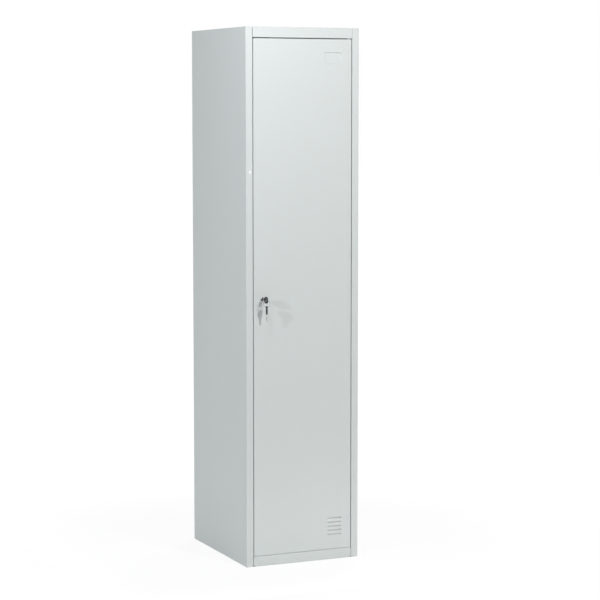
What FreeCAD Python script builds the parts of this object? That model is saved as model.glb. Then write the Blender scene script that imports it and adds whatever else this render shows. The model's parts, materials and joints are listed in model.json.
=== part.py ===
import FreeCAD, Part
import math
import os
from FreeCAD import Placement, Rotation, Vector

# Single-door steel clothes locker, in millimetres. The front faces -Y and +Z is up.
# The origin lies on the ground, under the middle of the carcass and of its base channel.

# Carcass
locker_height = 1830
locker_width = 418
locker_depth = 500
carcass_sheet = 0.7
bend_radius = 1.2
stile_width = 25
header_height = 35.5
kick_height = 35
kick_foot = 15
kick_notch_width = 2.5
kick_notch_height = 4
stop_lip = 12
rear_flange = 18
top_flange = 20
channel_width = 60
channel_flange = 15
seam = 0.6
kick_seam = 1.2
push_fit = 0.05
cut_overrun = 5

# Wall fixing holes of the back panel
wall_hole = 9
wall_hole_pitch = 260
wall_hole_below_top = 130

# Shelf, rail and hooks
hat_space = 302
shelf_flange = 22
shelf_hem = 10
shelf_play = 0.5
shelf_setback = 22
bracket_leg = 20
bracket_sheet = 1.5
rail_diameter = 20
rail_wall = 1.2
rail_below_shelf = 72
socket_floor = 2
socket_wall = 2.5
socket_depth = 14
hook_below_shelf = 150
hook_from_front = 120
hook_width = 18
hook_strap = 2
hook_bend = 4
hook_plate_height = 46
hook_reach = 32
hook_rise = 20
hook_lean = 8
hook_corner = 5

# Door
door_thickness = 20
door_sheet = 0.8
door_edge_radius = 2
door_side_gap = 2.5
door_top_gap = 3
door_stop_gap = 5
door_return = 14
stiffener_width = 70
stiffener_flange = 15
stiffener_depth = 14
stiffener_end_gap = 45

# Rubber buffers on the lock-side stop
buffer_diameter = 9
buffer_play = 0.3
buffer_height_shares = (0.2, 0.8)

# Plug in the left stile
plug_cap = 13
plug_cap_height = 2
plug_stem = 6
plug_stem_length = 5
plug_below_top = 485
plug_from_side = 16

# Pressed card recess
card_width = 62
card_height = 40
card_corner = 5
card_depth = 2.4
card_draft = 2
card_tab = 11
card_from_edge = 39.5
card_from_top = 44.5

# Pressed louvres
louvre_count = 5
louvre_length = 54.5
louvre_height = 8
louvre_depth = 4.5
louvre_pitch = 14.2
louvre_from_edge = 35
louvre_from_bottom = 45

# Hinge pins, brackets and bushes
hinge_from_edge = 8.5
hinge_from_face = 7
pin_diameter = 6
pin_reach = 8
pin_collar = 8
pin_collar_height = 2.5
pin_hole_play = 0.5
running_fit = 0.05
hinge_plate = 2
hinge_plate_length = 26
hinge_plate_leg = 22
hinge_plate_play = 0.5
bush_wall = 1
bush_flange = 1.3
bush_flange_width = 0.6
top_bush_flange = 2.4
hinge_play = 0.3

# Cam lock
lock_height = 916.5
lock_from_edge = 33.5
lock_head = 20
lock_head_thickness = 4
lock_head_chamfer = 1.2
barrel_diameter = 16
barrel_flats = 13.5
barrel_end_gap = 0.3
lock_nut_across = 21
lock_nut_thickness = 5
plug_diameter = 12
cam_thickness = 2.5
cam_width = 15
cam_overlap = 12
cam_gap = 0.8
tail_side = 6
tail_inset = 0.3
screw_diameter = 4
screw_length = 7
screw_head = 10
screw_head_height = 2.6

# Keys and ring
bow_height = 23
bow_length = 25
bow_thickness = 5
bow_neck = 12
eye_diameter = 8
eye_margin = 6.5
blade_length = 28
blade_height = 7.4
blade_thickness = 2
blade_tip = 3
tang_length = 8
tang_height = 6
notch_width = 3
notch_depth_shares = (0.16, 0.28, 0.2, 0.32)
key_neck = 10.5
key_play = 0.25
ring_diameter = 24
ring_wire = 1.5
ring_thickness = 1.6
ring_play = 1.3
ring_turn = 24

# Planes and places that follow from the sizes
half_width = locker_width / 2
front_y = -locker_depth / 2
back_y = locker_depth / 2
back_face = back_y - 2 * carcass_sheet
side_face = half_width - carcass_sheet
bend_outside = bend_radius + carcass_sheet
opening_half = half_width - stile_width
stop_y = front_y + door_thickness + door_stop_gap
tray_front = stop_y + carcass_sheet + seam
tray_back = back_face - bend_outside
header_bottom = locker_height - header_height
header_stop = header_bottom - stop_lip
floor_height = kick_height + stop_lip
header_half = opening_half - seam
kick_half = opening_half - kick_seam
door_half = opening_half - door_side_gap
door_top = header_bottom - door_top_gap
door_bottom = kick_height + bush_flange + hinge_play - door_sheet
door_inner = front_y + door_sheet
door_back = front_y + door_thickness
hinge_x = door_half - hinge_from_edge
hinge_y = front_y + hinge_from_face
pin_radius = pin_diameter / 2
bush_bore = pin_radius + running_fit
bush_body = bush_bore + bush_wall
bush_flange_radius = bush_body + bush_flange_width
lock_x = -door_half + lock_from_edge
lock_front = front_y - lock_head_thickness
cam_y = stop_y + carcass_sheet + cam_gap
cam_reach = lock_x - (stop_lip - opening_half) + cam_overlap
plug_length = cam_y - lock_front
barrel_length = plug_length - barrel_end_gap
bow_start = lock_front - key_neck
eye_to_neck = bow_length - eye_margin
eye_y = bow_start - eye_to_neck
ring_radius = (ring_diameter - ring_wire) / 2
ring_drop = (eye_diameter - ring_wire) / 2 - ring_play
shelf_height = locker_height - hat_space
rail_height = shelf_height - shelf_flange - rail_below_shelf
shelf_front = stop_y + shelf_setback
shelf_back = back_face - shelf_play
shelf_half = side_face - shelf_play

RIGHT = Vector(1, 0, 0)
BACK = Vector(0, 1, 0)
UP = Vector(0, 0, 1)
ORIGIN = Vector(0, 0, 0)


def plan_point(u, v):
    """Point of a plan section: u along X, v along Y."""
    return Vector(u, v, 0)


def side_point(u, v):
    """Point of a section seen from the side: u along Y, v along Z."""
    return Vector(0, u, v)


def front_point(u, v):
    """Point of a section seen from the front: u along X, v along Z."""
    return Vector(u, 0, v)


def block(low, high):
    """Box between two opposite corners."""
    size = Vector(*high) - Vector(*low)
    return Part.makeBox(size.x, size.y, size.z, Vector(*low))


def rod(radius, length, base, axis):
    """Round bar that starts at base and runs along axis."""
    return Part.makeCylinder(radius, length, base, axis)


def turned(profile, base, axis):
    """Solid of revolution from (radius, height) pairs, with heights counted from base along axis."""
    points = [Vector(radius, 0, height) for radius, height in profile]
    solid = Part.Face(Part.makePolygon(points + points[:1])).revolve(ORIGIN, UP, 360)
    solid.Placement = Placement(base, Rotation(UP, axis))
    return solid


def edges_face(edges):
    """Flat face from edges given as point pairs for lines and point triples for arcs."""
    shapes = []
    for points in edges:
        if len(points) == 2:
            shapes.append(Part.makeLine(*points))
        else:
            shapes.append(Part.Arc(*points).toShape())
    return Part.Face(Part.Wire(shapes))


def sheet_face(points, thickness, inside_radius, place):
    """Section of a folded sheet: points follow its shown face, with the metal to their left."""
    corners = [Vector(u, v, 0) for u, v in points]
    ways = [(end - start).normalize() for start, end in zip(corners, corners[1:])]
    lefts = [Vector(-way.y, way.x, 0) for way in ways]
    shown = []
    hidden = []
    shown_at = corners[0]
    hidden_at = corners[0] + lefts[0] * thickness
    for index, corner in enumerate(corners[1:-1]):
        way, next_way = ways[index], ways[index + 1]
        side = math.copysign(1, way.cross(next_way).z)
        reach = inside_radius + thickness if side > 0 else inside_radius
        trim = reach * math.tan(way.getAngle(next_way) / 2)
        start, end = corner - way * trim, corner + next_way * trim
        centre = start + lefts[index] * (side * reach)
        outward = (corner - centre).normalize()
        hidden_start = start + lefts[index] * thickness
        hidden_end = end + lefts[index + 1] * thickness
        hidden_mid = centre + outward * (reach - side * thickness)
        shown += [(shown_at, start), (start, centre + outward * reach, end)]
        hidden += [(hidden_at, hidden_start), (hidden_start, hidden_mid, hidden_end)]
        shown_at, hidden_at = end, hidden_end
    far_end = corners[-1] + lefts[-1] * thickness
    shown.append((shown_at, corners[-1]))
    hidden.append((hidden_at, far_end))
    outline = shown + [(corners[-1], far_end)]
    outline += [edge[::-1] for edge in reversed(hidden)]
    outline.append((hidden[0][0], corners[0]))
    return edges_face([[place(point.x, point.y) for point in edge] for edge in outline])


def rounded_wire(width, height, radius, place):
    """Rounded rectangle about the plane's zero point."""
    u, v = width / 2, height / 2
    nook = radius * (1 - math.sqrt(0.5))
    edges = []
    for sign_u, sign_v in ((1, 1), (-1, 1), (-1, -1), (1, -1)):
        tall = (sign_u * u, sign_v * (v - radius))
        wide = (sign_u * (u - radius), sign_v * v)
        middle = (sign_u * (u - nook), sign_v * (v - nook))
        start, end = (tall, wide) if sign_u == sign_v else (wide, tall)
        edges.append((start, middle, end))
    shapes = []
    for index, (start, middle, end) in enumerate(edges):
        following = edges[(index + 1) % len(edges)][0]
        shapes.append(Part.Arc(place(*start), place(*middle), place(*end)).toShape())
        shapes.append(Part.makeLine(place(*end), place(*following)))
    return Part.Wire(shapes)


def along_x(face, half_length):
    """Section carried along X, centred on the locker's middle plane."""
    return face.extrude(RIGHT * (2 * half_length)).translated(RIGHT * -half_length)


def along_y(face, start, end):
    """Section carried along Y from start to end."""
    return face.extrude(BACK * (end - start)).translated(BACK * start)


def flanged_tray(level, flange, half_length, start, end):
    """Flat sheet with a flange folded down along each side."""
    path = [
        (half_length, level - flange),
        (half_length, level),
        (-half_length, level),
        (-half_length, level - flange),
    ]
    return along_y(sheet_face(path, carcass_sheet, bend_radius, front_point), start, end)


def side_panel():
    """Left side: rear flange, side, stile and door stop folded from one sheet."""
    path = [
        (-half_width + rear_flange, back_y),
        (-half_width, back_y),
        (-half_width, front_y),
        (-opening_half, front_y),
        (-opening_half, stop_y),
        (-opening_half + stop_lip, stop_y),
    ]
    section = sheet_face(path, carcass_sheet, bend_radius, plan_point)
    panel = section.extrude(UP * locker_height)
    stile_top = block(
        (-side_face, front_y + carcass_sheet, locker_height - carcass_sheet),
        (-opening_half - carcass_sheet, stop_y, locker_height),
    )
    panel = panel.fuse(stile_top)
    for low, high in (
        (-cut_overrun, floor_height + seam),
        (header_stop - seam, locker_height + cut_overrun),
    ):
        lip_end = block(
            (-opening_half, stop_y - bend_radius, low),
            (-opening_half + stop_lip + cut_overrun, stop_y + cut_overrun, high),
        )
        panel = panel.cut(lip_end)
    return panel


def buffer_places():
    """Points on the lock-side stop where the buffers sit."""
    x = -opening_half + (stop_lip + bend_radius) / 2
    return [Vector(x, stop_y, share * locker_height) for share in buffer_height_shares]


def plug_place():
    """Point on the left stile where the plug sits."""
    return Vector(-half_width + plug_from_side, front_y, locker_height - plug_below_top)


def side_panel_left():
    """Lock-side panel with the hole of its stile's plug."""
    hole = rod(plug_stem / 2 + push_fit, 2 * cut_overrun, plug_place() - BACK * cut_overrun, BACK)
    return side_panel().cut(hole)


def side_panel_right():
    """Hinge-side panel, the mirror of the plain left one."""
    return side_panel().mirror(ORIGIN, RIGHT)


def back_panel():
    """Flat back with two holes for fixing to a wall."""
    half = side_face - bend_radius - seam
    panel = block((-half, back_face, seam), (half, back_face + carcass_sheet, locker_height - seam))
    level = locker_height - wall_hole_below_top
    for side in (-1, 1):
        base = Vector(side * wall_hole_pitch / 2, back_face - cut_overrun, level)
        panel = panel.cut(rod(wall_hole / 2, 2 * cut_overrun, base, BACK))
    return panel


def bush_hole(level):
    """Cutter for a hinge bush's hole through a ledge at the given level."""
    base = Vector(hinge_x, hinge_y, level - cut_overrun)
    return rod(bush_body + push_fit, 2 * cut_overrun, base, UP)


def top_panel():
    """Top with side flanges, and a header that folds back under itself to the door stop."""
    path = [
        (back_face, locker_height - top_flange),
        (back_face, locker_height),
        (front_y, locker_height),
        (front_y, header_bottom),
        (stop_y, header_bottom),
        (stop_y, header_stop),
    ]
    header = along_x(sheet_face(path, carcass_sheet, bend_radius, side_point), header_half)
    tray = flanged_tray(locker_height, top_flange, side_face, tray_front, tray_back)
    panel = header.fuse(tray).removeSplitter()
    return panel.cut(bush_hole(header_bottom))


def base_panel():
    """Floor with side flanges, a raised door stop, a ledge under the door and the kick board."""
    path = [
        (back_face, 0),
        (back_face, floor_height),
        (stop_y, floor_height),
        (stop_y, kick_height),
        (front_y, kick_height),
        (front_y, 0),
        (front_y + kick_foot, 0),
    ]
    front = along_x(sheet_face(path, carcass_sheet, bend_radius, side_point), kick_half)
    tray = flanged_tray(floor_height, floor_height, side_face, tray_front, tray_back)
    panel = front.fuse(tray).removeSplitter()
    for side in (-1, 1):
        edges = sorted((side * (kick_half - kick_notch_width), side * (kick_half + cut_overrun)))
        notch = block(
            (edges[0], front_y - cut_overrun, -cut_overrun),
            (edges[1], front_y + kick_foot + cut_overrun, kick_notch_height),
        )
        panel = panel.cut(notch)
    return panel.cut(bush_hole(kick_height))


def base_channel():
    """Hat channel across the locker that stands on the ground and carries the middle of its floor."""
    half = channel_width / 2
    level = floor_height - 2 * carcass_sheet
    path = [
        (-half - channel_flange, level),
        (-half, level),
        (-half, 0),
        (half, 0),
        (half, level),
        (half + channel_flange, level),
    ]
    section = sheet_face(path, carcass_sheet, bend_radius, side_point)
    return along_x(section, side_face - bend_outside - seam)


def hat_shelf():
    """Shelf with folded edges, hemmed at the front and along the sides."""
    bottom = shelf_height - shelf_flange
    corner = bend_outside + seam
    depth_path = [
        (shelf_back, bottom),
        (shelf_back, shelf_height),
        (shelf_front, shelf_height),
        (shelf_front, bottom),
        (shelf_front + shelf_hem, bottom),
    ]
    width_path = [
        (shelf_half - shelf_hem, bottom),
        (shelf_half, bottom),
        (shelf_half, shelf_height),
        (-shelf_half, shelf_height),
        (-shelf_half, bottom),
        (-shelf_half + shelf_hem, bottom),
    ]
    depth_section = sheet_face(depth_path, carcass_sheet, bend_radius, side_point)
    width_section = sheet_face(width_path, carcass_sheet, bend_radius, front_point)
    lengthways = along_x(depth_section, shelf_half - corner)
    crossways = along_y(width_section, shelf_front + corner, shelf_back - corner)
    return lengthways.fuse(crossways).removeSplitter()


def shelf_bracket():
    """Left angle that carries the shelf's side hem."""
    level = shelf_height - shelf_flange
    path = [
        (-side_face + bracket_leg, level),
        (-side_face, level),
        (-side_face, level - bracket_leg),
    ]
    section = sheet_face(path, bracket_sheet, bend_radius, front_point)
    return along_y(section, shelf_front + shelf_hem, shelf_back - shelf_hem)


def hanging_rail():
    """Tube across the locker between its two sockets."""
    half = side_face - socket_floor - push_fit
    start = Vector(-half, 0, rail_height)
    tube = rod(rail_diameter / 2, 2 * half, start, RIGHT)
    return tube.cut(rod(rail_diameter / 2 - rail_wall, 2 * half, start, RIGHT))


def rail_socket():
    """Left socket on the side that takes the rail's end."""
    half = rail_diameter / 2 + push_fit + socket_wall
    start = Vector(-side_face, 0, rail_height)
    body = block(
        (-side_face, -half, rail_height - half),
        (-side_face + socket_depth, half, rail_height + half),
    )
    return body.cut(rod(rail_diameter / 2 + push_fit, socket_depth, start + RIGHT * socket_floor, RIGHT))


def coat_hook():
    """Left hook: a strap folded out from its plate on the wall and up again, with clipped corners."""
    level = shelf_height - hook_below_shelf
    middle = front_y + hook_from_front
    path = [
        (-side_face, level + hook_plate_height),
        (-side_face, level),
        (-side_face + hook_reach, level),
        (-side_face + hook_reach + hook_lean, level + hook_rise),
    ]
    section = sheet_face(path, hook_strap, hook_bend, front_point)
    strap = along_y(section, middle - hook_width / 2, middle + hook_width / 2)
    end_edges = [edge for edge in strap.Edges if abs(edge.Length - hook_strap) < push_fit]
    return strap.makeChamfer(hook_corner, end_edges)


def door_buffer(place):
    """Rubber pad stuck on the stop, just short of the closed door."""
    return rod(buffer_diameter / 2, door_stop_gap - buffer_play, place, -BACK)


def stile_plug():
    """Plastic plug with a low round cap and a stem through the stile."""
    cap = rod(plug_cap / 2, plug_cap_height, plug_place(), -BACK)
    return cap.fuse(rod(plug_stem / 2, plug_stem_length, plug_place(), BACK))


def louvre_scoop(wall):
    """Sloped scoop with round ends, flush at its foot and deepest at its slit; wall is added behind it."""
    depth = louvre_depth + wall * math.hypot(louvre_height, louvre_depth) / louvre_height
    foot = depth * louvre_height / louvre_depth
    section = Part.Face(Part.makePolygon([ORIGIN, UP * -foot, BACK * depth, ORIGIN]))
    straight = louvre_length - 2 * louvre_depth
    middle = section.extrude(RIGHT * straight).translated(RIGHT * (-straight / 2))
    ends = []
    for side in (-1, 1):
        quarter = section.revolve(ORIGIN, UP, -90 * side)
        ends.append(quarter.translated(RIGHT * (side * straight / 2)))
    return middle.fuse(ends)


def press_louvres(skin):
    """Skin with its row of louvres pressed inwards, each slit open at its top."""
    metal = louvre_scoop(door_sheet)
    hollow = louvre_scoop(0)
    x = door_half - louvre_from_edge - louvre_length / 2
    places = [
        Vector(x, front_y, door_bottom + louvre_from_bottom + louvre_height + index * louvre_pitch)
        for index in range(louvre_count)
    ]
    skin = skin.fuse([metal.translated(place) for place in places])
    return skin.cut([hollow.translated(place) for place in places])


def press_card_recess(skin):
    """Skin with the shallow recess for a name card, held by a tab across each lower corner."""
    centre = Vector(
        door_half - card_from_edge - card_width / 2,
        front_y,
        door_top - card_from_top - card_height / 2,
    )

    def pressing(margin, depth):
        """Drafted form that is square at its top and sloped on its other three sides."""
        low, high = ORIGIN, BACK * depth + UP * (card_draft / 2)
        wires = []
        for offset, narrowing in ((low, 0), (high, card_draft)):
            width = card_width + 2 * margin - 2 * narrowing
            height = card_height + 2 * margin - narrowing

            def on_face(u, v, shift=offset):
                """Point of the recess's outline at one depth."""
                return centre + shift + RIGHT * u + UP * v

            wires.append(rounded_wire(width, height, card_corner + margin, on_face))
        return Part.makeLoft(wires, True, True)

    skin = skin.fuse(pressing(door_sheet, card_depth + door_sheet)).cut(pressing(0, card_depth))
    tabs = []
    for side in (-1, 1):
        corner = centre + RIGHT * (side * card_width / 2) - UP * (card_height / 2)
        outline = [corner, corner - RIGHT * (side * card_tab), corner + UP * card_tab, corner]
        tabs.append(Part.Face(Part.makePolygon(outline)).extrude(BACK * door_sheet))
    return skin.fuse(tabs)


def front_edges(solid):
    """Straight edges round a box's front face."""
    level = solid.BoundBox.YMin + push_fit
    return [edge for edge in solid.Edges if edge.BoundBox.YMax < level]


def door_pan():
    """Folded pan with rounded front edges and a return lip round its open back."""
    outside = block((-door_half, front_y, door_bottom), (door_half, door_back, door_top))
    outside = outside.makeFillet(door_edge_radius, front_edges(outside))
    inside = block(
        (-door_half + door_sheet, door_inner, door_bottom + door_sheet),
        (door_half - door_sheet, door_back - door_sheet, door_top - door_sheet),
    )
    inside = inside.makeFillet(door_edge_radius - door_sheet, front_edges(inside))
    window = block(
        (-door_half + door_return, door_back - door_sheet, door_bottom + door_return),
        (door_half - door_return, door_back + cut_overrun, door_top - door_return),
    )
    return outside.cut([inside, window])


def flatted(solid, across, length):
    """Round bar about the lock's axis with two flats cut along it."""
    reach = barrel_diameter
    keep = block(
        (lock_x - across / 2, lock_front, lock_height - reach),
        (lock_x + across / 2, lock_front + length, lock_height + reach),
    )
    return solid.common(keep)


def door_skin():
    """Door pan with its louvres, card recess, lock hole, pin hole and the hole over the lower bush."""
    skin = press_card_recess(press_louvres(door_pan()))
    reach = lock_head_thickness + door_sheet + cut_overrun
    bore = rod(barrel_diameter / 2 + push_fit, reach, Vector(lock_x, lock_front, lock_height), BACK)
    skin = skin.cut(flatted(bore, barrel_flats + 2 * push_fit, reach))
    for level, radius in (
        (door_bottom, bush_flange_radius + hinge_play),
        (door_top, pin_radius + pin_hole_play),
    ):
        base = Vector(hinge_x, hinge_y, level - cut_overrun)
        skin = skin.cut(rod(radius, 2 * cut_overrun, base, UP))
    return skin.removeSplitter()


def door_stiffener():
    """Hat channel welded upright to the inside of the skin."""
    half = stiffener_width / 2
    web = door_inner + stiffener_depth
    path = [
        (-half - stiffener_flange, door_inner),
        (-half, door_inner),
        (-half, web),
        (half, web),
        (half, door_inner),
        (half + stiffener_flange, door_inner),
    ]
    section = sheet_face(path, carcass_sheet, bend_radius, plan_point)
    bottom = door_bottom + stiffener_end_gap
    return section.extrude(UP * (door_top - stiffener_end_gap - bottom)).translated(UP * bottom)


def hinge_bracket(corner_level, way):
    """Angle in the pan's hinge-side corner that holds a pin; way is up or down towards the door's end."""
    corner_x = door_half - door_sheet
    path = [
        (corner_x, corner_level - hinge_plate_leg),
        (corner_x, corner_level),
        (corner_x - hinge_plate_length, corner_level),
    ]
    section = sheet_face(path, hinge_plate, bend_radius, front_point)
    front = door_inner + door_edge_radius - door_sheet + hinge_plate_play
    plate = along_y(section, front, door_back - door_sheet - hinge_plate_play)
    if way < 0:
        plate = plate.mirror(UP * corner_level, UP)
    base = Vector(hinge_x, hinge_y, corner_level - cut_overrun)
    return plate.cut(rod(pin_radius + push_fit, 2 * cut_overrun, base, UP))


def hinge_pin(seat_level, tip_level):
    """Pin whose collar sits on its bracket, with its tip through the bush."""
    way = UP if tip_level > seat_level else -UP
    seat = Vector(hinge_x, hinge_y, seat_level)
    collar = rod(pin_collar / 2, pin_collar_height, seat, -way)
    return collar.fuse(rod(pin_radius, abs(tip_level - seat_level), seat, way))


def hinge_bush(level, flange, way):
    """Plastic bush snapped through a ledge, with its flange on the face that looks along way at the door."""
    seat = Vector(hinge_x, hinge_y, level)
    collar = rod(bush_flange_radius, flange, seat, way)
    body = rod(bush_body, carcass_sheet, seat, -way)
    bore = rod(bush_bore, carcass_sheet + flange, seat - way * carcass_sheet, way)
    return collar.fuse(body).cut(bore)


def lock_housing():
    """Chromed head with a bevelled edge and a flatted barrel, bored for the plug."""
    head = lock_head / 2
    bore = plug_diameter / 2 + running_fit
    place = Vector(lock_x, lock_front, lock_height)
    profile = [
        (bore, 0),
        (head - lock_head_chamfer, 0),
        (head, lock_head_chamfer),
        (head, lock_head_thickness),
        (bore, lock_head_thickness),
    ]
    barrel = flatted(rod(barrel_diameter / 2, barrel_length, place, BACK), barrel_flats, barrel_length)
    barrel = barrel.cut(rod(bore, barrel_length, place, BACK))
    return turned(profile, place, BACK).fuse(barrel).removeSplitter()


def lock_nut():
    """Hexagon nut that draws the lock against the skin."""
    corner = lock_nut_across / math.sqrt(3)
    start = Vector(lock_x, door_inner, lock_height)
    points = []
    for index in range(7):
        angle = math.radians(60 * index)
        points.append(start + RIGHT * (corner * math.cos(angle)) + UP * (corner * math.sin(angle)))
    nut = Part.Face(Part.makePolygon(points)).extrude(BACK * lock_nut_thickness)
    return nut.cut(rod(barrel_diameter / 2 + push_fit, lock_nut_thickness, start, BACK))


def on_lock_axis(half_x, half_z, start, end):
    """Square bar about the lock's axis between two depths."""
    return block((lock_x - half_x, start, lock_height - half_z), (lock_x + half_x, end, lock_height + half_z))


def lock_plug():
    """Plug with its keyway, square tail and tapped end."""
    plug = rod(plug_diameter / 2, plug_length, Vector(lock_x, lock_front, lock_height), BACK)
    tail_end = cam_y + cam_thickness - tail_inset
    tail = on_lock_axis(tail_side / 2, tail_side / 2, cam_y, tail_end)
    keyway_end = bow_start + blade_length + key_play
    keyway = on_lock_axis(
        blade_thickness / 2 + key_play, blade_height / 2 + key_play, lock_front - cut_overrun, keyway_end
    )
    thread_start = cam_y + cam_thickness - screw_length - push_fit
    thread = rod(
        screw_diameter / 2 + push_fit,
        screw_length + cut_overrun,
        Vector(lock_x, thread_start, lock_height),
        BACK,
    )
    return plug.fuse(tail).cut([keyway, thread])


def lock_cam():
    """Flat cam, hanging down when unlocked, with a square eye on the plug's tail."""
    half = cam_width / 2
    centre = Vector(lock_x, cam_y, lock_height)
    end = centre - UP * (cam_reach - half)
    outline = [
        (centre - RIGHT * half, centre + UP * half, centre + RIGHT * half),
        (centre + RIGHT * half, end + RIGHT * half),
        (end + RIGHT * half, end - UP * half, end - RIGHT * half),
        (end - RIGHT * half, centre - RIGHT * half),
    ]
    cam = edges_face(outline).extrude(BACK * cam_thickness)
    hole = tail_side / 2 + push_fit
    return cam.cut(on_lock_axis(hole, hole, cam_y - cut_overrun, cam_y + cut_overrun))


def cam_screw():
    """Screw that holds the cam on the plug's tail."""
    seat = Vector(lock_x, cam_y + cam_thickness, lock_height)
    head = rod(screw_head / 2, screw_head_height, seat, BACK)
    return head.fuse(rod(screw_diameter / 2, screw_length, seat, -BACK))


def key_bow():
    """Plastic bow about its eye, with its neck towards +Y and a slot for the blade's tang."""
    radius = bow_height / 2
    half = bow_thickness / 2
    centre = BACK * (radius - eye_margin)
    neck = block((-half, centre.y, -bow_neck / 2), (half, eye_to_neck, bow_neck / 2))
    disc = rod(radius, bow_thickness, centre - RIGHT * half, RIGHT)
    eye = rod(eye_diameter / 2, bow_thickness, RIGHT * -half, RIGHT)
    slot = block(
        (-blade_thickness / 2 - push_fit, eye_to_neck - tang_length - push_fit, -tang_height / 2 - push_fit),
        (blade_thickness / 2 + push_fit, eye_to_neck + cut_overrun, tang_height / 2 + push_fit),
    )
    return disc.fuse(neck).removeSplitter().cut([eye, slot])


def key_blade():
    """Steel blade with notched edges, a bevelled tip and a tang inside the bow."""
    half = blade_thickness / 2
    top = blade_height / 2
    tip = eye_to_neck + blade_length
    outline = [
        Vector(-half, eye_to_neck, -top),
        Vector(-half, tip - blade_tip, -top),
        Vector(-half, tip, 0),
        Vector(-half, tip - blade_tip, top),
        Vector(-half, eye_to_neck, top),
        Vector(-half, eye_to_neck, -top),
    ]
    blade = Part.Face(Part.makePolygon(outline)).extrude(RIGHT * blade_thickness)
    tang = block((-half, eye_to_neck - tang_length, -tang_height / 2), (half, eye_to_neck, tang_height / 2))
    notches = []
    for index, share in enumerate(notch_depth_shares):
        y = tip - blade_tip - notch_width * (index + 1)
        corners = [
            Vector(-half, y - notch_width / 2, -top),
            Vector(-half, y + notch_width / 2, -top),
            Vector(-half, y, -top + share * blade_height),
            Vector(-half, y - notch_width / 2, -top),
        ]
        notches.append(Part.Face(Part.makePolygon(corners)).extrude(RIGHT * blade_thickness))
    return blade.fuse(tang).removeSplitter().cut(notches)


def in_lock(shape):
    """Key piece placed with its blade in the plug."""
    return shape.translated(Vector(lock_x, eye_y, lock_height))


def on_ring(shape):
    """Key piece placed with its eye on the ring and its blade hanging down."""
    level = lock_height - 2 * ring_drop - 2 * ring_radius
    turn = Rotation(UP, -ring_turn).multiply(Rotation(RIGHT, -90))
    placed = shape.copy()
    placed.Placement = Placement(Vector(lock_x, eye_y, level), turn)
    return placed


def key_ring():
    """Ring that hangs in the key's eye and carries the spare key."""
    facing = Rotation(UP, -ring_turn).multVec(BACK)
    centre = Vector(lock_x, eye_y, lock_height - ring_drop - ring_radius)
    start = centre - facing * (ring_thickness / 2)
    ring = rod(ring_diameter / 2, ring_thickness, start, facing)
    return ring.cut(rod(ring_diameter / 2 - ring_wire, ring_thickness, start, facing))


def mirrored(shape):
    """Right-hand twin of a piece on the left wall."""
    return shape.mirror(ORIGIN, RIGHT)


def export(node, shape):
    """Writes one node as a STEP file."""
    solids = shape.Solids
    piece = solids[0] if len(solids) == 1 else Part.makeCompound(solids)
    piece.exportStep(f"parts/{node}.step")


def main():
    """Builds every node of the locker."""
    os.makedirs("parts", exist_ok=True)
    lower_buffer, upper_buffer = buffer_places()
    bottom_seat = door_bottom + door_sheet + hinge_plate
    top_seat = door_top - door_sheet - hinge_plate
    nodes = {
        "side_panel_left": side_panel_left(),
        "side_panel_right": side_panel_right(),
        "back_panel": back_panel(),
        "top_panel": top_panel(),
        "base_panel": base_panel(),
        "base_channel": base_channel(),
        "hat_shelf": hat_shelf(),
        "shelf_bracket_left": shelf_bracket(),
        "shelf_bracket_right": mirrored(shelf_bracket()),
        "hanging_rail": hanging_rail(),
        "rail_socket_left": rail_socket(),
        "rail_socket_right": mirrored(rail_socket()),
        "coat_hook_left": coat_hook(),
        "coat_hook_right": mirrored(coat_hook()),
        "door_buffer_lower": door_buffer(lower_buffer),
        "door_buffer_upper": door_buffer(upper_buffer),
        "stile_plug": stile_plug(),
        "hinge_bush_top": hinge_bush(header_bottom, top_bush_flange, -UP),
        "hinge_bush_bottom": hinge_bush(kick_height, bush_flange, UP),
        "door_skin": door_skin(),
        "door_stiffener": door_stiffener(),
        "hinge_bracket_top": hinge_bracket(door_top - door_sheet, 1),
        "hinge_bracket_bottom": hinge_bracket(door_bottom + door_sheet, -1),
        "hinge_pin_top": hinge_pin(top_seat, header_bottom + pin_reach),
        "hinge_pin_bottom": hinge_pin(bottom_seat, kick_height - pin_reach),
        "lock_housing": lock_housing(),
        "lock_nut": lock_nut(),
        "lock_plug": lock_plug(),
        "lock_cam": lock_cam(),
        "cam_screw": cam_screw(),
        "key_blade": in_lock(key_blade()),
        "key_bow": in_lock(key_bow()),
        "key_ring": key_ring(),
        "spare_key_blade": on_ring(key_blade()),
        "spare_key_bow": on_ring(key_bow()),
    }
    for node, shape in nodes.items():
        export(node, shape)


main()
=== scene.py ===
"""Single-door steel locker: finishes, small fittings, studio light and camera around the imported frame."""

import json
import logging
import math
from dataclasses import dataclass
from enum import Enum
from typing import Optional, Sequence, Union

import bmesh
import bpy
from mathutils import Matrix, Vector


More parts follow.
